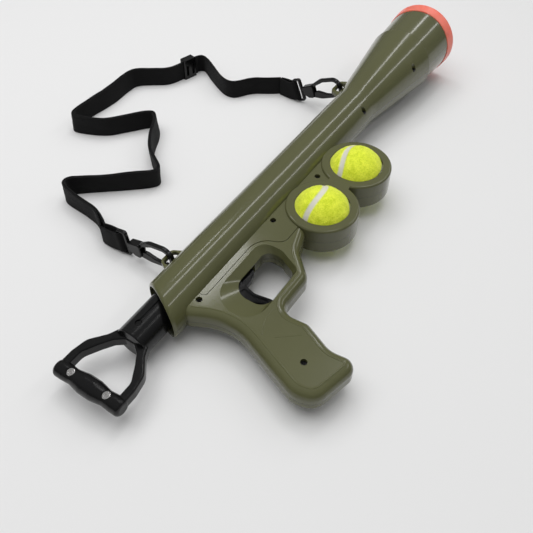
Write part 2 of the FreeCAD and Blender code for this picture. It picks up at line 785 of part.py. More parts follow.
def clip_pieces():
    """The hook, gate, swivel and the strap end's loop of one snap hook, in the hook's frame."""
    bend = [
        (neck_u - 14, 5.6, 1.2), (30, 7.2, 8), (17, bend_out_r, 14), (-bend_out_r, bend_out_r, 12.6),
        (-bend_out_r, -bend_out_r, 11.4), (0.6, -bend_out_r, 1), (0.6, -bend_in_r, 1),
        (-bend_in_r, -bend_in_r, 7.2), (-bend_in_r, bend_in_r, 8), (13, bend_in_r, 8),
        (26, 4.2, 6), (neck_u - 14, 1.5, 1),
    ]
    hook = prism(bend, -hook_half, hook_half)
    hook = hook.makeFillet(0.9, flat_edges(hook, hook_half))
    neck = [
        (29, 6.4, 3), (neck_u, 5, 2), (neck_u, -5.4, 2), (39, -10.6, 4), (31.5, -11.6, 3), (29.5, -4, 3),
    ]
    body = prism(neck, -neck_half, neck_half)
    body = body.makeFillet(1.2, flat_edges(body, neck_half))
    mouth = block(mouth_start_u, mouth_end_u, -20, 1.6, -gate_half - body_gap, gate_half + body_gap)
    hook = hook.fuse(body.cut(mouth))
    hook = hook.cut(rod_x(neck_u - 4.4, neck_u + 1, post_r + slide_gap))
    hook = hook.cut(rod_x(neck_u - 4.4, neck_u - 2.4, post_head_r + slide_gap))
    hook = hook.cut(rod_z(gate_u, gate_v, -far, far, gate_pin_r + slide_gap))

    gate = prism([
        (1.2, -13.2, 1), (1.2, -9, 1), (12, -7.6, 8), (24, -3.2, 5), (34, -3.8, 3),
        (38.8, -6, 2.5), (38.4, -10, 2.5), (20, -13.8, 20),
    ], -gate_half, gate_half)
    gate = gate.makeFillet(0.8, flat_edges(gate, gate_half))
    gate = gate.fuse(rod_z(gate_u, gate_v, -neck_half, neck_half, gate_pin_r))

    slot_half_v = web_width / 2 + 0.6
    slot_u = eye_u + eye_rail
    far_bar_u = slot_u + eye_slot
    out_v = slot_half_v + eye_side
    eye = prism([
        (eye_u, -out_v, 3), (eye_u, out_v, 3), (far_bar_u + eye_rail, out_v, 3),
        (far_bar_u + eye_rail, -out_v, 3),
    ], -eye_half, eye_half)
    eye = eye.cut(block(slot_u, far_bar_u, -slot_half_v, slot_half_v, -far, far))
    eye = eye.makeFillet(0.9, flat_edges(eye, eye_half))
    post = rod_x(neck_u - 4.3, eye_u + 1, post_r)
    cap = rod_x(neck_u - 4.3, neck_u - 2.5, post_head_r)
    swivel = eye.fuse([post, cap])

    loop_gap = 0.4
    inner = eye_half + loop_gap
    outer = inner + web_thick
    back_u = far_bar_u - loop_gap
    front_u = far_bar_u + eye_rail + loop_gap
    loop = prism([
        (back_u - web_thick, -outer, 2), (front_u + web_thick, -outer, 2.5),
        (front_u + web_thick, outer, 2.5), (back_u - web_thick, outer, 2),
    ], -web_width / 2, web_width / 2)
    loop = loop.cut(block(back_u, front_u, -inner, inner, -far, far))
    loop.rotate(V(0, 0, 0), X_AXIS, 90)
    return one(hook), one(gate), one(swivel), one(loop), front_u + web_thick


def clip(lay, lug_spec, tilt_deg, prefix):
    """One snap hook placed on its lug, with the strap end that leads to the ground."""
    eye_high = lug_spec[4]
    seat = lay.multVec(V(lug_spec[0], eye_high - hook_reach + bend_out_r, -hook_drop))
    tilt = math.radians(tilt_deg)
    u = V(0, math.cos(tilt), -math.sin(tilt))
    v = V(0, math.sin(tilt), math.cos(tilt))
    w = u.cross(v)
    frame = FreeCAD.Placement(FreeCAD.Matrix(
        u.x, v.x, w.x, seat.x, u.y, v.y, w.y, seat.y, u.z, v.z, w.z, seat.z, 0, 0, 0, 1))
    hook, gate, swivel, loop, loop_end = clip_pieces()
    placed = {}
    for name, shape in (("hook", hook), ("gate", gate), ("swivel", swivel), ("strap_end", loop)):
        shape.Placement = frame.multiply(shape.Placement)
        placed[f"{prefix}_{name}"] = shape
    near = frame.multVec(V(loop_end - loop_merge, 0, 0))
    low = web_low
    high = web_low + web_width
    end = V(seat.x, near.y + tail_long, 0)
    upper = near + v * (web_width / 2)
    lower = near - v * (web_width / 2)
    tail = Part.Wire(Part.makePolygon([
        lower, upper, V(end.x, end.y, high), V(end.x, end.y, low), lower,
    ]))
    thick = web_thick + layer_step
    tail = Part.Face(tail).extrude(V(thick, 0, 0))
    tail.translate(V(-thick / 2, 0, 0))
    placed[f"{prefix}_strap_end"] = one(placed[f"{prefix}_strap_end"].fuse(tail))
    print(prefix, "hook at", seat, "turns about", u, "gate pin", frame.multVec(V(gate_u, gate_v, 0)), w)
    return placed, end


def ribbon(points, offset, thick, meets_first):
    """Corners of a band's outline on the ground, with arcs as large as its runs allow.

    Where an end meets a strap end, it is cut along X to lie face to face with it.
    """
    sides = [[], []]
    radii = []
    last = len(points) - 1
    for i, here in enumerate(points):
        into = (here - points[max(i - 1, 0)]) if i > 0 else (points[1] - here)
        out = (points[min(i + 1, last)] - here) if i < last else into
        d0 = V(into).normalize()
        d1 = V(out).normalize()
        n0 = V(-d0.y, d0.x, 0)
        n1 = V(-d1.y, d1.x, 0)
        miter = (n0 + n1) / (1 + n0.dot(n1))
        turn = d0.getAngle(d1)
        sign = 1 if d0.cross(d1).z > 0 else -1
        inner = 0 < i < last and turn > 0.01
        radius = 0.45 * min(into.Length, out.Length) / math.tan(turn / 2) if inner else 0
        if inner:
            radii.append(round(radius, 1))
        meets = i == last or (i == 0 and meets_first)
        for side, reach in ((0, offset + thick / 2), (1, offset - thick / 2)):
            corner = here + miter * reach
            if meets:
                corner = corner - d1 * ((corner.y - here.y) / d1.y)
            sides[side].append((corner.x, corner.y, radius - sign * reach if inner else 0))
    print("strap radii", radii)
    return sides[0] + sides[1][::-1]


def strap(start, end, route):
    """The webbing on its edge from one strap end to the other, with its doubled stretch."""
    points = [start] + route + [end]
    length = sum((b - a).Length for a, b in zip(points, points[1:]))
    print("strap length", round(length), "mm")
    high = web_low + web_width
    half_step = layer_step / 2
    band = prism(ribbon(points, -half_step, web_thick, True), web_low, high)
    second = prism(ribbon(points[doubled_from:], half_step, web_thick, False), web_low, high)
    return band, second


def slide_adjuster(first, second):
    """The slider that holds both layers of the webbing, on the run between two points."""
    along = (second - first).normalize()
    middle = (first + second) / 2
    outer_half = layer_step / 2 + web_thick / 2 + adjuster_gap + adjuster_wall
    half = adjuster_long / 2
    top = web_low + web_width + adjuster_gap + adjuster_wall
    body = block(-half, half, -outer_half, outer_half, 0.05, top)
    body = body.makeFillet(1.5, [e for e in body.Edges if e.BoundBox.XLength < 0.1])
    inner_half = outer_half - adjuster_wall
    body = body.cut(block(-half, half, -inner_half, inner_half, 0, web_low + web_width + adjuster_gap))
    rail = block(-half, half, -outer_half, outer_half, 0.05, web_low - 0.05)
    body = body.fuse(rail)
    for x in (-half / 2, half / 2):
        body = body.cut(block(x - 2, x + 2, -outer_half, outer_half, 5, web_width - 5))
    turn = math.degrees(math.atan2(along.y, along.x))
    body.Placement = FreeCAD.Placement(middle, FreeCAD.Rotation(Z_AXIS, turn))
    return one(body)


def laying():
    """The placement that rests the launcher on the coral ring, the barrel's end and a ball."""
    rear_touch = rear_x + rear_round / math.cos(math.radians(rear_slant_deg))
    ring_touch = ring_end_x - ring_round
    apart = ring_touch - rear_touch
    rise = ring_front_r - ring_round - barrel_r
    pitch = math.atan2(rise, apart) + math.asin(ring_round / math.hypot(apart, rise))
    nx = math.sin(pitch)
    height = barrel_r * math.cos(pitch) - nx * rear_touch
    ny = (ball_r - nx * rear_ball_x - height) / rear_ball_y
    normal = V(nx, ny, math.sqrt(1 - nx ** 2 - ny ** 2))
    return FreeCAD.Placement(V(0, 0, height), FreeCAD.Rotation(normal, Z_AXIS))


def launcher():
    """Every piece of the launcher, in its own frame."""
    parts = {}
    parts["barrel_right"], parts["barrel_left"] = barrel_shells()
    parts["muzzle_sleeve"] = muzzle_sleeve()
    parts["muzzle_ring"] = muzzle_ring()
    parts["launch_tube"] = launch_tube()
    parts["holder_right"], parts["holder_left"] = holder_shells()
    parts["grip_right"], parts["grip_left"] = grip_shells()
    parts["rear_bush"] = rear_bush()
    parts["spring_seat"] = spring_seat()
    parts["bumper"] = bumper()
    parts["pull_tube"] = pull_tube()
    parts["catch_collar"] = catch_collar()
    parts["plunger_rod"] = plunger_rod()
    parts["plunger_head"] = plunger_head()
    parts["head_pad"] = head_pad()
    parts["main_spring"] = main_spring()
    parts["handle_yoke"] = handle_yoke()
    parts["hand_bar_right"], parts["hand_bar_left"] = hand_bar()
    parts["handle_screws"] = handle_screws()
    parts["tube_screw"] = tube_screw()
    parts["trigger"] = trigger()
    parts["trigger_pin"] = rod_z(trigger_x, trigger_y, -trigger_pin_half, trigger_pin_half, trigger_pin_r)
    parts["trigger_spring"] = pin_spring(trigger_x, trigger_y, trigger_half + 0.5)
    parts["sear"] = sear()
    parts["sear_pin"] = rod_z(sear_x, sear_y, -sear_pin_half, sear_pin_half, sear_pin_r)
    parts["sear_spring"] = pin_spring(sear_x, sear_y, sear_half + 0.6)
    parts["case_screws"] = Part.makeCompound([case_screw(*spec) for spec in all_screws()])
    parts["ball_rear"] = ball(rear_ball_x, rear_ball_y)
    parts["ball_front"] = ball(front_ball_x, front_ball_y)
    return parts


lay = laying()
parts = launcher()
for shape in parts.values():
    shape.Placement = lay.multiply(shape.Placement)
boxes = [shape.optimalBoundingBox(False, False) for shape in parts.values()]
shift = V(-(min(b.XMin for b in boxes) + max(b.XMax for b in boxes)) / 2,
          -(min(b.YMin for b in boxes) + max(b.YMax for b in boxes)) / 2, 0)

front_parts, strap_start = clip(lay, front_lug, front_tilt_deg, "front")
rear_parts, strap_stop = clip(lay, rear_lug, rear_tilt_deg, "rear")
route = [V(x, y, 0) for x, y in strap_route]
parts.update(front_parts)
parts.update(rear_parts)
parts["webbing"], parts["webbing_return"] = strap(strap_start, strap_stop, route)
parts["slide_adjuster"] = slide_adjuster(route[doubled_from - 1], route[doubled_from])

os.makedirs("parts", exist_ok=True)
for name, shape in parts.items():
    shape.translate(shift)
    shape.exportStep(f"parts/{name}.step")
    box = shape.BoundBox
    print(name, len(shape.Solids), shape.isValid(), round(shape.Volume / 1000, 2), "low", round(box.ZMin, 2))
print("laid at", lay, "shift", shift, "floor points", strap_start + shift, strap_stop + shift)
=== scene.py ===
import bmesh
import bpy
from math import cos, pi, radians, sin, sqrt
from mathutils import Euler, Matrix, Vector, noise
from mathutils.kdtree import KDTree


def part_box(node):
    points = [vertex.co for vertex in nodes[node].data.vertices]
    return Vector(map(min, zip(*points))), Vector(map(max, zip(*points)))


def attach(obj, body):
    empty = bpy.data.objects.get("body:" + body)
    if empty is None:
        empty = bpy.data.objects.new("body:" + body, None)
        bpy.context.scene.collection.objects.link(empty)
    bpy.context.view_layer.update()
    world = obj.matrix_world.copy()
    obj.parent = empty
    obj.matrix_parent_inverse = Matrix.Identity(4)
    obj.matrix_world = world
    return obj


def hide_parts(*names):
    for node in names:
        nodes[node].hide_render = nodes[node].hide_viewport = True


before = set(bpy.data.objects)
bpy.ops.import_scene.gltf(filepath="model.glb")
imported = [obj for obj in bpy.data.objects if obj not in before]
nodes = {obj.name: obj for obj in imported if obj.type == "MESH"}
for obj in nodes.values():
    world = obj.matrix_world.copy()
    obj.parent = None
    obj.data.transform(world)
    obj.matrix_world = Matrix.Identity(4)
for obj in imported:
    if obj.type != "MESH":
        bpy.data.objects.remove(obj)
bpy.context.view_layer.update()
print("frame:", len(nodes), "pieces")

# The launcher's own frame, lying on the floor: a barrel axis that rises a little
launcher = {
    "origin": (-0.2214887, 0.0670525, 0.0266406),
    "forward": (0.9993739, -0.0001104, 0.0353805),
    "up": (-0.0353805, -0.0062408, 0.9993544),
}
forward = Vector(launcher["forward"])
upward = Vector(launcher["up"])
toLauncher = Matrix((forward, upward.cross(forward), upward)).to_4x4()
toLauncher.translation = -(toLauncher.to_3x3() @ Vector(launcher["origin"]))
fromLauncher = toLauncher.inverted()


class Value:
    # a shader value: Python's operators add Math nodes
    def __init__(self, paint, socket):
        self.paint = paint
        self.socket = socket

    def math(self, operation, *others):
        return self.paint.node("ShaderNodeMath", {"operation": operation}, self, *others)

    def __add__(self, other): return self.math("ADD", other)
    def __radd__(self, other): return self.math("ADD", other)
    def __sub__(self, other): return self.math("SUBTRACT", other)
    def __rsub__(self, other): return self.paint.node("ShaderNodeMath", {"operation": "SUBTRACT"}, other, self)
    def __mul__(self, other): return self.math("MULTIPLY", other)
    def __rmul__(self, other): return self.math("MULTIPLY", other)
    def __truediv__(self, other): return self.math("DIVIDE", other)
    def __pow__(self, other): return self.math("POWER", other)
    def abs(self): return self.math("ABSOLUTE")
    def sin(self): return self.math("SINE")
    def low(self, other): return self.math("MINIMUM", other)
    def high(self, other): return self.math("MAXIMUM", other)

    def ramp(self, low, high, bottom=0.0, top=1.0):
        # a smooth step from bottom to top as the value goes from low to high
        settings = {"interpolation_type": "SMOOTHSTEP"}
        return self.paint.node("ShaderNodeMapRange", settings, self, low, high, bottom, top)


class Paint:
    # a material: one glossy shader and the nodes that feed it
    def __init__(self, name, **fixed):
        self.material = bpy.data.materials.new(name)
        self.material.use_nodes = True
        self.tree = self.material.node_tree
        self.shader = self.tree.nodes["Principled BSDF"]
        for socket, value in fixed.items():
            self.feed(socket.replace("_", " "), value)

    def feed(self, socket, value):
        target = self.shader.inputs[socket]
        if isinstance(value, Value):
            self.tree.links.new(value.socket, target)
        elif hasattr(value, "__len__") and len(value) == 3 and target.type == "RGBA":
            target.default_value = (*value, 1)
        else:
            target.default_value = value

    def node(self, kind, settings, *values, out=0, **named):
        made = self.tree.nodes.new(kind)
        for key, value in settings.items():
            setattr(made, key, value)
        pairs = list(enumerate(values)) + [(key.replace("_", " "), value) for key, value in named.items()]
        for key, value in pairs:
            if isinstance(value, Value):
                self.tree.links.new(value.socket, made.inputs[key])
            elif value is not None:
                target = made.inputs[key]
                needsAlpha = target.type == "RGBA" and len(value) == 3
                target.default_value = (*value, 1) if needsAlpha else value
        return Value(self, made.outputs[out])

    def place(self):
        return self.node("ShaderNodeTexCoord", {}, out="Object")

    def attribute(self, name):
        return self.node("ShaderNodeAttribute", {"attribute_name": name}, out="Fac")

    def split(self, vector):
        made = self.tree.nodes.new("ShaderNodeSeparateXYZ")
        self.tree.links.new(vector.socket, made.inputs[0])
        return [Value(self, made.outputs[i]) for i in range(3)]

    def stretch(self, vector, scale, turn=(0, 0, 0), move=(0, 0, 0)):
        return self.node("ShaderNodeMapping", {}, vector, move, turn, scale)

    def noise(self, vector, scale, detail=3.0, roughness=0.55):
        return self.node("ShaderNodeTexNoise", {}, Vector=vector, Scale=scale, Detail=detail, Roughness=roughness)

    def cells(self, vector, scale, feature="F1"):
        return self.node("ShaderNodeTexVoronoi", {"feature": feature}, Vector=vector, Scale=scale)

    def mix(self, share, low, high):
        made = self.tree.nodes.new("ShaderNodeMix")
        made.data_type = "RGBA"
        for key, value in ((0, share), (6, low), (7, high)):
            if isinstance(value, Value):
                self.tree.links.new(value.socket, made.inputs[key])
            else:
                made.inputs[key].default_value = value if key == 0 else (*value, 1)
        return Value(self, made.outputs[2])

    def bump(self, height, distance, strength=1.0, under=None):
        return self.node("ShaderNodeBump", {}, Height=height, Distance=distance, Strength=strength, Normal=under)


def plasticPaint(name, base, spread, gloss, grain, marks=None):
    paint = Paint(name, IOR=1.5, Coat_Roughness=0.12)
    place = paint.place()
    cloud = paint.noise(place, 9.0, 4.0)
    speck = paint.noise(place, 900.0, 2.0)
    paler = tuple(c * (1 + spread) for c in base)
    deeper = tuple(c * (1 - spread) for c in base)
    tone = paint.mix(cloud.ramp(0.3, 0.7), deeper, paler)
    wave = paint.noise(place, 22.0, 2.0)
    height = wave * grain["wave"] + speck * grain["speck"]
    if marks:
        local = paint.stretch(place, (1, 1, 1), toLauncher.to_euler(), toLauncher.translation)
        lift, shade = marks(*paint.split(local))
        height = height + lift
        # the marks' painted shade darkens the tone towards a quarter of the base colour
        tone = paint.mix(shade, tone, tuple(c * 0.25 for c in base))
    paint.feed("Base Color", tone)
    paint.feed("Roughness", cloud * 0.06 + speck * 0.04 + (gloss - 0.05))
    paint.feed("Normal", paint.bump(height, 0.001))
    return paint


def partingGrooveShade(x, y, z):
    # the fine groove where the two shells of a housing meet: a bump sinks it, and painted shade darkens it
    line = z.abs().ramp(0.00008, 0.0003, 1.0, 0.0)
    return line * -0.25, line * 0.75


olive = plasticPaint("olivePlastic", (0.088, 0.090, 0.037), 0.05, 0.24, {"wave": 0.1, "speck": 0.012}, partingGrooveShade)
olive.feed("Coat Weight", 0.6)
olive.feed("Coat Roughness", 0.11)
olive.feed("Specular IOR Level", 0.2)

black = plasticPaint("blackPlastic", (0.0035, 0.0035, 0.0037), 0.1, 0.22, {"wave": 0.2, "speck": 0.02})
black.feed("Specular IOR Level", 0.36)

deepBlack = plasticPaint("triggerPlastic", (0.003, 0.003, 0.0032), 0.1, 0.2, {"wave": 0.1, "speck": 0.02})
deepBlack.feed("Specular IOR Level", 0.14)

acetal = plasticPaint("whiteAcetal", (0.62, 0.62, 0.58), 0.03, 0.42, {"wave": 0.05, "speck": 0.03})


def coralPaint():
    paint = Paint("coralRubber", Roughness=0.36, IOR=1.45, Subsurface_Weight=0.45, Subsurface_Scale=0.012)
    paint.feed("Subsurface Radius", (1.0, 0.35, 0.25))
    place = paint.place()
    cloud = paint.noise(place, 14.0, 3.0)
    paint.feed("Base Color", paint.mix(cloud.ramp(0.3, 0.7), (0.80, 0.17, 0.12), (0.87, 0.22, 0.16)))
    paint.feed("Roughness", cloud * 0.1 + 0.3)
    paint.feed("Normal", paint.bump(paint.noise(place, 160.0, 3.0), 0.00015))
    return paint


def rubberPaint():
    paint = Paint("greyRubber", IOR=1.45)
    place = paint.place()
    grain = paint.noise(place, 700.0, 3.0)
    paint.feed("Base Color", paint.mix(grain, (0.022, 0.022, 0.022), (0.034, 0.034, 0.034)))
    paint.feed("Roughness", grain * 0.2 + 0.55)
    paint.feed("Normal", paint.bump(grain, 0.0001))
    return paint


def steelPaint(name, base, gloss, scale):
    paint = Paint(name, Metallic=1.0)
    place = paint.place()
    brushed = paint.noise(paint.stretch(place, scale), 60.0, 4.0)
    tone = paint.mix(brushed, tuple(c * 0.85 for c in base), base)
    paint.feed("Base Color", tone)
    paint.feed("Roughness", brushed * 0.12 + gloss)
    paint.feed("Normal", paint.bump(brushed, 0.00002))
    return paint


def feltPaint():
    paint = Paint("ballFelt", IOR=1.4, Sheen_Weight=0.45, Sheen_Roughness=0.5)
    paint.feed("Sheen Tint", (0.9, 1.0, 0.35, 1))
    place = paint.place()
    seam = paint.attribute("seam")
    fuzz = paint.noise(place, 620.0, 5.0, 0.75)
    clump = paint.noise(place, 170.0, 3.0)
    shade = (fuzz * 0.6 + clump * 0.4).ramp(0.34, 0.66)
    felt = paint.mix(shade, (0.60, 0.72, 0.016), (0.93, 1.0, 0.08))
    stripe = paint.mix(clump, (0.62, 0.60, 0.52), (0.74, 0.72, 0.64))
    paint.feed("Base Color", paint.mix(seam, felt, stripe))
    paint.feed("Roughness", 0.95 - seam * 0.35)
    paint.feed("Normal", paint.bump(fuzz * (1.0 - seam) + clump * 0.5, 0.0007))
    return paint


def webbingPaint():
    # the piece's own UV map runs in metres along and across the webbing
    paint = Paint("blackWebbing", IOR=1.45, Sheen_Weight=0.05, Sheen_Roughness=0.4,
                  Specular_IOR_Level=0.2)
    along, across, _ = paint.split(paint.node("ShaderNodeUVMap", {"uv_map": "UVMap"}))
    rib = (along * (2 * pi / 0.0016)).sin()
    yarn = (across * (2 * pi / 0.0014)).sin()
    weave = (rib * yarn) * 0.5 + 0.5
    edge = ((across - 0.0125).abs()).ramp(0.0108, 0.0122)
    thread = paint.noise(paint.node("ShaderNodeCombineXYZ", {}, along * 500, across * 500, 0.0), 1.0, 3.0)
    tone = (weave * 0.6 + thread * 0.4).ramp(0.1, 0.9)
    paint.feed("Base Color", paint.mix(tone, (0.0035, 0.0035, 0.0038), (0.0115, 0.0115, 0.012)))
    paint.feed("Roughness", 0.86 - edge * 0.1)
    paint.feed("Normal", paint.bump(weave * 0.7 + thread * 0.3 + edge * 0.5, 0.00035))
    return paint


coral = coralPaint()
rubber = rubberPaint()
steel = steelPaint("groundSteel", (0.55, 0.55, 0.56), 0.22, (1, 12, 12))
wire = steelPaint("springWire", (0.42, 0.42, 0.43), 0.28, (6, 6, 6))
bright = steelPaint("brightScrews", (0.82, 0.81, 0.8), 0.12, (8, 8, 1))
dark = steelPaint("darkScrews", (0.035, 0.035, 0.035), 0.35, (8, 8, 1))
felt = feltPaint()
webbing = webbingPaint()
print("finishes made")

finishes = {
    olive: ["barrel_right", "barrel_left", "muzzle_sleeve", "holder_right", "holder_left", "grip_right", "grip_left"],
    black: ["pull_tube", "handle_yoke", "hand_bar_right", "hand_bar_left", "front_hook", "front_gate",
            "front_swivel", "rear_hook", "rear_gate", "rear_swivel", "slide_adjuster"],
    deepBlack: ["trigger"],
    coral: ["muzzle_ring"],
    acetal: ["launch_tube", "rear_bush", "spring_seat", "catch_collar", "plunger_head"],
    rubber: ["bumper", "head_pad"],
    steel: ["plunger_rod", "trigger_pin", "sear", "sear_pin"],
    wire: ["main_spring", "trigger_spring", "sear_spring"],
    bright: ["handle_screws"],
    dark: ["case_screws", "tube_screw"],
    felt: ["ball_rear", "ball_front"],
    webbing: ["webbing", "webbing_return", "front_strap_end", "rear_strap_end"],
}
for paint, names in finishes.items():
    for name in names:
        nodes[name].data.materials.clear()
        nodes[name].data.materials.append(paint.material)


def finished(name, mesh, body, paint, replaced=()):
    piece = bpy.data.objects.new(name, mesh)
    bpy.context.scene.collection.objects.link(piece)
    mesh.materials.append(paint.material)
    for polygon in mesh.polygons:
        polygon.use_smooth = True
    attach(piece, body)
    if replaced:
        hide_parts(*replaced)
    return piece


# The fine raised line round the grip's flat face, and the faint creases on it, in millimetres
gripLines = {
    "inset": 8.5, "faceHeight": 13.0, "bead": (1.5, 0.4), "crease": (0.9, 0.22),
    "outline": [
        (-9, -27.5, 9), (9, -63, 60), (-25, -149, 29), (-19, -170, 19), (34.5, -184, 11), (31, -154, 25),
        (44.5, -124, 11), (42.3, -95.5, 12), (90, -96, 14), (113.5, -72, 22),
    ],
    "before": (-9, -10), "after": (148, -60.5),
    "folds": [
        [(41.2, -92.0), (36.5, -90.0), (30.7, -89.0), (23.0, -90.6), (15.8, -93.4), (9.2, -96.6)],
        [(13.0, -107.6), (20.5, -117.1), (28.6, -126.3)],
    ],
}


def faceEdge():
    # the rounded outline, moved inwards to the edge of the flat face
    corners = gripLines["outline"]
    points = [gripLines["before"]] + [(x, y) for x, y, _ in corners] + [gripLines["after"]]
    line = []
    for i, (x, y, radius) in enumerate(corners):
        here = Vector((x, y))
        back = (Vector(points[i]) - here).normalized()
        ahead = (Vector(points[i + 2]) - here).normalized()
        half = back.angle(ahead) / 2
        reach = radius / sin(half)
        centre = here + (back + ahead).normalized() * reach
        turnsLeft = (-back).cross(ahead) > 0
        start = here + back * (radius * cos(half) / sin(half)) - centre
        sweep = (pi - 2 * half) * (1 if turnsLeft else -1)
        moved = radius - gripLines["inset"] * (1 if turnsLeft else -1)
        for k in range(13):
            spun = Matrix.Rotation(sweep * k / 12, 2) @ start.normalized()
            line.append(centre + spun * moved)
    return line


def bead(name, lines, size):
    # low raised lines: round rods sunk into the face but for their lift
    radius, lift = size
    curve = bpy.data.curves.new(name, "CURVE")
    curve.dimensions = "3D"
    curve.bevel_depth = radius * 0.001
    curve.bevel_resolution = 3
    curve.use_fill_caps = True
    for points in lines:
        spline = curve.splines.new("POLY")
        spline.points.add(len(points) - 1)
        for target, (x, y) in zip(spline.points, points):
            height = gripLines["faceHeight"] - radius + lift
            target.co = (*(fromLauncher @ Vector((x * 0.001, y * 0.001, height * 0.001))), 1)
    holder = bpy.data.objects.new(name, curve)
    mesh = bpy.data.meshes.new_from_object(holder)
    bpy.data.objects.remove(holder)
    mesh.materials.clear()
    return finished(name, mesh, "launcher", olive)


bead("gripFaceLine", [faceEdge()[4:]], gripLines["bead"])
bead("gripCreases", gripLines["folds"], gripLines["crease"])
print("grip lines made")


# Felt balls with a sunk pale seam
ballLook = {
    "radius": 0.0325, "fuzz": 0.00035, "fuzzScale": 520.0, "seamHalf": 0.0031, "seamSoft": 0.0007,
    "seamDeep": 0.0007, "seamWide": 0.72, "turns": 6,
    "spin": {"ball_rear": (-52.2, -3.0, -96.7), "ball_front": (-61.6, 63.9, -56.1)},
}


def seamLine(spin):
    # the closed curve that parts the two felt panels of a ball
    wide = ballLook["seamWide"]
    narrow = 1 - wide
    rise = 2 * sqrt(wide * narrow)
    turn = Euler([radians(a) for a in spin]).to_matrix()
    points = []
    for i in range(720):
        t = i * 2 * pi / 720
        point = Vector((wide * cos(t) + narrow * cos(3 * t), wide * sin(t) - narrow * sin(3 * t), rise * sin(2 * t)))
        points.append(turn @ point.normalized())
    return points


def feltBall(name, node):
    low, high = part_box(node)
    centre = (low + high) / 2
    line = seamLine(ballLook["spin"][node])
    tree = KDTree(len(line))
    for i, point in enumerate(line):
        tree.insert(point, i)
    tree.balance()
    bm = bmesh.new()
    bmesh.ops.create_icosphere(bm, subdivisions=ballLook["turns"], radius=1.0)
    layer = bm.verts.layers.float.new("seam")
    radius = ballLook["radius"]
    half = ballLook["seamHalf"] / radius
    soft = ballLook["seamSoft"] / radius
    for v in bm.verts:
        outward = v.co.normalized()
        away = tree.find(outward)[2]
        seam = min(max((half + soft - away) / (2 * soft), 0.0), 1.0)
        seam = seam * seam * (3 - 2 * seam)
        v[layer] = seam
        lift = noise.noise(outward * radius * ballLook["fuzzScale"]) * ballLook["fuzz"] * (1 - seam)
        lift -= ballLook["seamDeep"] * seam + ballLook["fuzz"]
        v.co = centre + outward * (radius + lift)
    mesh = bpy.data.meshes.new(name)
    bm.to_mesh(mesh)
    bm.free()
    return finished(name, mesh, node, felt, [node])


feltBall("feltBallRear", "ball_rear")
feltBall("feltBallFront", "ball_front")
print("balls made")

# Strap: flat webbing on its edge, with a second layer from the slider to the rear clip
strap = {
    "width": 0.025, "thick": 0.0017, "low": 0.0004, "layerStep": 0.0022, "doubledFrom": 8,
    "step": 0.0022, "rows": 8, "lean": 0.0028, "ripple": 0.0005, "openLong": 0.035, "openHalf": 0.0015,
    "start": (0.1653348, 0.1910927), "stop": (-0.1799486, 0.1927177),
    "route": [
        (0.1535, 0.2061), (0.1435, 0.2231), (0.1255, 0.2331), (0.1175, 0.2411), (0.1195, 0.2571),
        (0.1345, 0.2831), (0.1485, 0.3051), (0.1515, 0.3141), (0.1445, 0.3191), (0.1145, 0.3261),
        (0.0965, 0.3311), (0.0845, 0.3481), (0.0715, 0.3661), (0.0585, 0.3701), (0.0185, 0.3651),
        (-0.0165, 0.3671), (-0.0435, 0.3681), (-0.0545, 0.3641), (-0.0545, 0.3551), (-0.0455, 0.3321),
        (-0.0375, 0.3191), (-0.0165, 0.3041), (0.0065, 0.2871), (0.0075, 0.2781), (-0.0075, 0.2661),
        (-0.0295, 0.2551), (-0.0495, 0.2401), (-0.0635, 0.2201), (-0.0725, 0.2061), (-0.0815, 0.2061),
        (-0.0975, 0.2241), (-0.1175, 0.2451), (-0.1375, 0.2701), (-0.1465, 0.2791), (-0.1565, 0.2761),
        (-0.1605, 0.2601), (-0.1625, 0.2351), (-0.1665, 0.2101),
    ],
}


def smoothLine(points, height):
    # even points along the smooth curve of a route on the floor
    curve = bpy.data.curves.new("route", "CURVE")
    curve.dimensions = "3D"
    spline = curve.splines.new("NURBS")
    spline.points.add(len(points) - 1)
    for target, point in zip(spline.points, points):
        target.co = (point[0], point[1], height, 1)
    spline.order_u = 3
    spline.use_endpoint_u = True
    spline.resolution_u = 24
    holder = bpy.data.objects.new("route", curve)
    line = bpy.data.meshes.new_from_object(holder)
    found = [v.co.copy() for v in line.vertices]
    bpy.data.objects.remove(holder)
    spaced = [found[0]]
    run = 0.0
    for a, b in zip(found, found[1:]):
        run += (b - a).length
        if run >= strap["step"]:
            spaced.append(b)
            run = 0.0
    spaced[-1] = found[-1]
    return spaced


def lineLength(points):
    return sum((b - a).length for a, b in zip(points, points[1:]))


def sideways(points):
    # a level normal at each point of a line
    normals = []
    for i in range(len(points)):
        along = points[min(i + 1, len(points) - 1)] - points[max(i - 1, 0)]
        normals.append(Vector((-along.y, along.x, 0)).normalized())
    return normals


def band(name, points, normals, rise, lean, paintUsed, replaced, body="launcher"):
    # webbing along points: rise(i) is its direction across, lean(i, share) its push along the normal
    rows = strap["rows"]
    bm = bmesh.new()
    bm.loops.layers.uv.new("UVMap")
    bmesh.ops.create_grid(bm, x_segments=len(points) - 1, y_segments=rows, size=0.5, calc_uvs=True)
    layer = bm.loops.layers.uv.active
    length = lineLength(points)
    for face in bm.faces:
        for loop in face.loops:
            u, v = loop[layer].uv
            loop[layer].uv = (u * length, v * strap["width"])
    for v in bm.verts:
        i = round((v.co.x + 0.5) * (len(points) - 1))
        share = v.co.y + 0.5
        across = rise(i) * (share - 0.5) * strap["width"]
        v.co = points[i] + across + normals[i] * lean(i, share)
    bmesh.ops.recalc_face_normals(bm, faces=bm.faces)
    mesh = bpy.data.meshes.new(name)
    bm.to_mesh(mesh)
    bm.free()
    piece = finished(name, mesh, body, paintUsed, replaced)
    wall = piece.modifiers.new("thickness", "SOLIDIFY")
    wall.thickness = strap["thick"]
    wall.offset = 0.0
    edge = piece.modifiers.new("edges", "BEVEL")
    edge.width = 0.0004
    edge.segments = 2
    edge.limit_method = "ANGLE"
    return piece


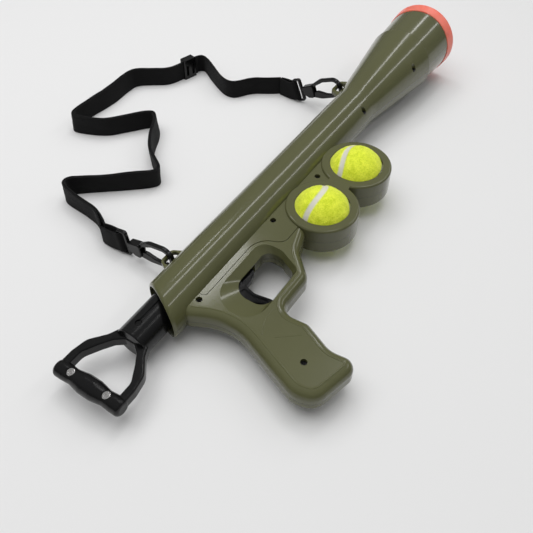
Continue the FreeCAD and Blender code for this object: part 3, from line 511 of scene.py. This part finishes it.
def strapBands():
    middle = strap["low"] + strap["width"] / 2
    route = [strap["start"], *strap["route"], strap["stop"]]
    line = smoothLine(route, middle)
    doubled = smoothLine(route[strap["doubledFrom"] + 1:], middle)
    up = Vector((0, 0, 1))

    def leaning(points, side, seed):
        half = strap["layerStep"] / 2 * side

        def push(i, share):
            fade = min(i, len(points) - 1 - i, 12) / 12
            sway = noise.noise(points[i] * 17 + Vector((0, 0, seed))) * strap["lean"] * fade
            ripple = noise.noise(points[i] * 60 + Vector((share * 3, 0, seed))) * strap["ripple"] * fade
            left = (points[i] - points[-1]).length
            opened = max(1 - left / strap["openLong"], 0.0) ** 1.5 * strap["openHalf"] * side
            return half + opened + sway * (share - 0.5) * 2 + ripple
        return push

    first = band("webbingStrap", line, sideways(line), lambda i: up, leaning(line, -1, 0.0), webbing, ["webbing"])
    second = band("webbingReturn", doubled, sideways(doubled), lambda i: up, leaning(doubled, 1, 0.0), webbing,
                  ["webbing_return"])
    print("strap lengths:", round(lineLength(line), 3), round(lineLength(doubled), 3))
    return first, line, second, doubled


strapPiece, strapLine, returnPiece, returnLine = strapBands()

# The webbing's loop round each clip's far bar, sewn down where the strap begins
clipLoop = {
    "front": {"seat": (0.1653349, 0.1120214, 0.0386150), "tilt": 23.0},
    "rear": {"seat": (-0.1799486, 0.1096596, 0.0263760), "tilt": 10.0},
    "bar": (0.0574, 0.0608), "halfGap": 0.0036, "roundR": 0.0026,
}


def loopLine(end, floor, spread):
    # from the floor along one layer, round the bar and back along the other
    spec = clipLoop[end]
    tilt = radians(spec["tilt"])
    seat = Vector(spec["seat"])
    out = Vector((0, cos(tilt), -sin(tilt)))
    side = Vector((1, 0, 0))
    near, far = clipLoop["bar"]
    wide = clipLoop["halfGap"]
    stations = [(near - 0.0014, 0.0), (near - 0.0009, wide * 0.62), (near + 0.0008, wide), (far, wide),
                (far + 0.0035, wide * 0.92)]
    half = [seat + out * u + side * w for u, w in stations]
    half.append((half[-1] + floor + side * spread) / 2 + side * (spread * 0.4))
    half.append(floor + side * spread)
    curve = []
    for point in reversed(half):
        curve.append(point)
    for point in half[1:]:
        curve.append(Vector((2 * seat.x - point.x, point.y, point.z)))
    return curve, out


def evenly(points, step):
    # even points along the smooth curve through a few stations
    curve = bpy.data.curves.new("loop", "CURVE")
    curve.dimensions = "3D"
    spline = curve.splines.new("NURBS")
    spline.points.add(len(points) - 1)
    for target, point in zip(spline.points, points):
        target.co = (*point, 1)
    spline.order_u = 3
    spline.use_endpoint_u = True
    spline.resolution_u = 16
    holder = bpy.data.objects.new("loop", curve)
    found = [v.co.copy() for v in bpy.data.meshes.new_from_object(holder).vertices]
    bpy.data.objects.remove(holder)
    spaced = [found[0]]
    for point in found[1:]:
        if (point - spaced[-1]).length >= step:
            spaced.append(point)
    spaced[-1] = found[-1]
    return spaced


def strapEnd(end, floorPoint, spread):
    tilt = radians(clipLoop[end]["tilt"])
    floor = Vector((*floorPoint, strap["low"] + strap["width"] / 2))
    stations, out = loopLine(end, floor, spread)
    line = evenly(stations, 0.0009)
    across = Vector((0, sin(tilt), cos(tilt)))
    start = (Vector(clipLoop[end]["seat"]) + out * (clipLoop["bar"][1] + 0.004)).y

    def rise(i):
        share = min(max((floor.y - line[i].y) / (floor.y - start), 0.0), 1.0)
        return (Vector((0, 0, 1)) * (1 - share) + across * share).normalized()

    normals = []
    for i in range(len(line)):
        along = line[min(i + 1, len(line) - 1)] - line[max(i - 1, 0)]
        normals.append(rise(i).cross(along).normalized())
    return band(end + "WebbingEnd", line, normals, rise, lambda i, share: 0.0, webbing, [end + "_strap_end"])


frontEnd = strapEnd("front", strap["start"], 0.0011)
rearEnd = strapEnd("rear", strap["stop"], 0.0026)
clipParts = [nodes[f"{end}_{part}"] for end in ("front", "rear") for part in ("hook", "gate", "swivel")]
clipParts += [frontEnd, rearEnd]
round(lineLength(strapLine), 3)
round(lineLength(returnLine), 3)

# Camera of the photograph
view = {
    "place": (-0.4919317, -0.2111185, 0.4970399), "target": (-0.1356039, 0.0161830, 0.0293636),
    "up": (-0.0353805, -0.0062408, 0.9993544), "lens": 43.33, "sensor": 36.0,
}


def makeCamera():
    data = bpy.data.cameras.new("camera")
    data.lens = view["lens"]
    data.sensor_width = view["sensor"]
    data.clip_start = 0.01
    data.clip_end = 20
    camera = bpy.data.objects.new("camera", data)
    bpy.context.scene.collection.objects.link(camera)
    ahead = (Vector(view["target"]) - Vector(view["place"])).normalized()
    right = ahead.cross(Vector(view["up"])).normalized()
    over = right.cross(ahead)
    turn = Matrix((right, over, -ahead)).transposed().to_4x4()
    camera.matrix_world = Matrix.Translation(view["place"]) @ turn
    bpy.context.scene.camera = camera


studio = {
    "floorTone": (0.76, 0.76, 0.76), "floorGlow": 0.025, "glowReach": (1.2, 3.6), "floorSize": 30.0,
    "worldLight": 0.34, "worldDark": 0.14,
    "lamps": [
        # name, place, target, length, width, watts, seen in reflections
        ("overheadStrip", (5.6, 0.694, 5.99), (0.05, 0.066, 0.03), 7.2, 0.5, 80.0, True),
        ("cameraStrip", (5.6, -3.37, 4.94), (0.05, 0.066, 0.03), 7.2, 0.35, 55.0, True),
        ("barrelPanel", (0.395, 0.536, 1.003), (-0.16, 0.04, 0.04), 0.21, 0.045, 0.34, True),
        ("softBox", (-0.1, 0.5, 2.2), (0.0, 0.05, 0.0), 2.4, 2.4, 44.0, False),
    ],
}


def makeStudio():
    bm = bmesh.new()
    bmesh.ops.create_grid(bm, x_segments=1, y_segments=1, size=studio["floorSize"] / 2)
    mesh = bpy.data.meshes.new("floor")
    bm.to_mesh(mesh)
    bm.free()
    floor = bpy.data.objects.new("floor", mesh)
    bpy.context.scene.collection.objects.link(floor)
    paint = Paint("paleFloor", Roughness=0.9)
    paint.feed("Base Color", studio["floorTone"])
    paint.feed("Specular IOR Level", 0.1)
    # far from the launcher the camera sees a plain pale floor that its light doesn't reach
    glow = paint.tree.nodes.new("ShaderNodeEmission")
    glow.inputs["Color"].default_value = (*studio["floorTone"], 1)
    seen = paint.tree.nodes.new("ShaderNodeLightPath")
    x, y, _ = paint.split(paint.place())
    away = (x * x + y * y) ** 0.5
    share = Value(paint, seen.outputs["Is Camera Ray"]) * away.ramp(*studio["glowReach"], studio["floorGlow"], 1.0)
    both = paint.tree.nodes.new("ShaderNodeMixShader")
    paint.tree.links.new(share.socket, both.inputs[0])
    paint.tree.links.new(paint.shader.outputs[0], both.inputs[1])
    paint.tree.links.new(glow.outputs[0], both.inputs[2])
    paint.tree.links.new(both.outputs[0], paint.tree.nodes["Material Output"].inputs[0])
    mesh.materials.append(paint.material)
    for name, place, target, length, width, watts, seen in studio["lamps"]:
        data = bpy.data.lights.new(name, "AREA")
        data.shape = "RECTANGLE"
        data.size = length
        data.size_y = width
        data.energy = watts
        lamp = bpy.data.objects.new(name, data)
        bpy.context.scene.collection.objects.link(lamp)
        lamp.visible_glossy = seen
        down = (Vector(target) - Vector(place))
        down.x = 0.0 if "Strip" in name else down.x
        lamp.location = place
        lamp.rotation_mode = "QUATERNION"
        back = -down.normalized()
        along = Vector((1, 0, 0))
        side = back.cross(along).normalized()
        lamp.rotation_quaternion = Matrix((side.cross(back), side, back)).transposed().to_quaternion()
    world = bpy.data.worlds.new("studio")
    bpy.context.scene.world = world
    world.use_nodes = True
    tree = world.node_tree
    background = tree.nodes["Background"]
    coordinate = tree.nodes.new("ShaderNodeTexCoord")
    split = tree.nodes.new("ShaderNodeSeparateXYZ")
    ramp = tree.nodes.new("ShaderNodeMapRange")
    ramp.interpolation_type = "SMOOTHSTEP"
    ramp.inputs[1].default_value = 0.0
    ramp.inputs[2].default_value = 0.75
    ramp.inputs[3].default_value = studio["worldDark"]
    ramp.inputs[4].default_value = studio["worldLight"]
    tree.links.new(coordinate.outputs["Generated"], split.inputs[0])
    tree.links.new(split.outputs[2], ramp.inputs[0])
    tree.links.new(ramp.outputs[0], background.inputs["Strength"])
    background.inputs["Color"].default_value = (1, 1, 1, 1)
    plain = tree.nodes.new("ShaderNodeBackground")
    plain.inputs["Color"].default_value = (*studio["floorTone"], 1)
    seen = tree.nodes.new("ShaderNodeLightPath")
    both = tree.nodes.new("ShaderNodeMixShader")
    tree.links.new(seen.outputs["Is Camera Ray"], both.inputs[0])
    tree.links.new(background.outputs[0], both.inputs[1])
    tree.links.new(plain.outputs[0], both.inputs[2])
    tree.links.new(both.outputs[0], tree.nodes["World Output"].inputs[0])
    bpy.context.scene.view_settings.view_transform = "Standard"


makeCamera()
makeStudio()
print("camera and studio made")
